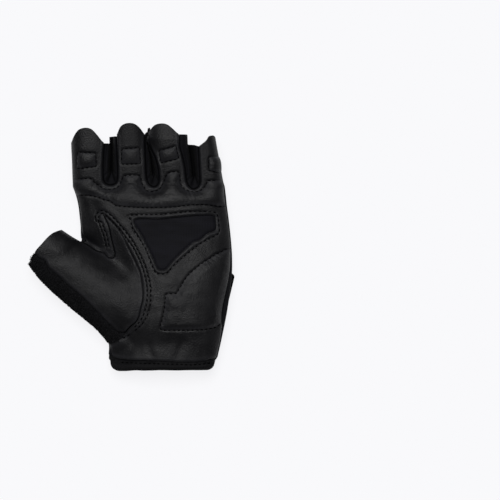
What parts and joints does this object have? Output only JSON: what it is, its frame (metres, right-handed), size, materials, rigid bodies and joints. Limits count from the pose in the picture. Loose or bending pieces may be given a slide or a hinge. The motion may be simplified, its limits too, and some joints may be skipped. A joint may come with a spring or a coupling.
{
  "type": "weightlifting glove",
  "caption": "Fingerless weightlifting glove with leather palm, padded overlays, knitted palm window, towelling thumb back, stretch back and wrist strap.",
  "frame": {"origin": "centre of the bounding box in plan, on the surface that the back of the glove lies on", "axes": "+Y from the wrist to the fingertips, +X to the little-finger side, +Z out of the palm"},
  "size_m": [0.1358, 0.1626, 0.0303],
  "materials": {
    "palm_leather": "soft matt black leather",
    "pad_leather": "soft matt black leather over padding",
    "towelling": "black looped towelling",
    "knit": "black ribbed knit, slightly blue",
    "stretch_cloth": "black stretch cloth, slightly blue",
    "elastic": "black woven elastic",
    "strap_webbing": "black hook-and-loop strap"
  },
  "bodies": {
    "root": {"palm_leather": "palm_leather", "thumb_leather": "palm_leather", "thumb_towel": "towelling", "mesh_inset": "knit", "heel_pad": "pad_leather", "knuckle_pad": "pad_leather", "index_pad": "pad_leather", "middle_pad": "pad_leather", "ring_pad": "pad_leather", "little_pad": "pad_leather", "index_gusset": "stretch_cloth", "middle_gusset": "stretch_cloth", "little_gusset": "stretch_cloth", "back_panel": "stretch_cloth", "cuff_binding": "elastic", "wrist_strap": "strap_webbing"}
  },
  "joints": []
}
